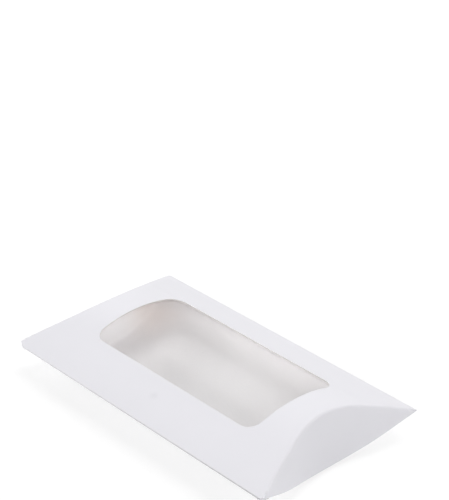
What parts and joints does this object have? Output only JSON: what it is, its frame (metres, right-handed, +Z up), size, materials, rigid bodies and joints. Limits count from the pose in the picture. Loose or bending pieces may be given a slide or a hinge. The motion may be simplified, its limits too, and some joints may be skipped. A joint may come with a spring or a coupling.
{
  "type": "pillow box",
  "caption": "Bowed white card pillow box with a rounded window, clear film behind the window and curved flaps that fold in to close each end.",
  "frame": {"origin": "middle of the box in plan, on the level of the lowest line of its bowed bottom", "axes": "+X along the box towards the end that is near in the picture, +Y across it and away from the glued long edge, +Z up through the window"},
  "size_m": [0.1256, 0.074, 0.0202],
  "materials": {
    "card": "smooth white coated card, matt",
    "film": "clear gloss film",
    "glue": "dry clear glue"
  },
  "bodies": {
    "sleeve": {"top_panel": "card", "bottom_panel": "card", "seam_tab": "card", "window_film": "film", "window_glue": "glue", "seam_glue": "glue"},
    "near_outer": {"near_outer_flap": "card"},
    "near_inner": {"near_inner_flap": "card"},
    "far_outer": {"far_outer_flap": "card"},
    "far_inner": {"far_inner_flap": "card"}
  },
  "joints": [
    {"name": "near_outer_crease", "type": "hinge", "parent": "sleeve", "child": "near_outer", "pos_m": [0.0519, 0, 0.0202], "axis": [0, -1, 0], "range_deg": [0, 100]},
    {"name": "far_outer_crease", "type": "hinge", "parent": "sleeve", "child": "far_outer", "pos_m": [-0.0519, 0, 0.0202], "axis": [0, 1, 0], "range_deg": [0, 100]},
    {"name": "near_inner_crease", "type": "hinge", "parent": "sleeve", "child": "near_inner", "pos_m": [0.05442, 0, 0.0004], "axis": [0, -1, 0], "range_deg": [0, 18]},
    {"name": "far_inner_crease", "type": "hinge", "parent": "sleeve", "child": "far_inner", "pos_m": [-0.05442, 0, 0.0004], "axis": [0, 1, 0], "range_deg": [0, 18]}
  ]
}
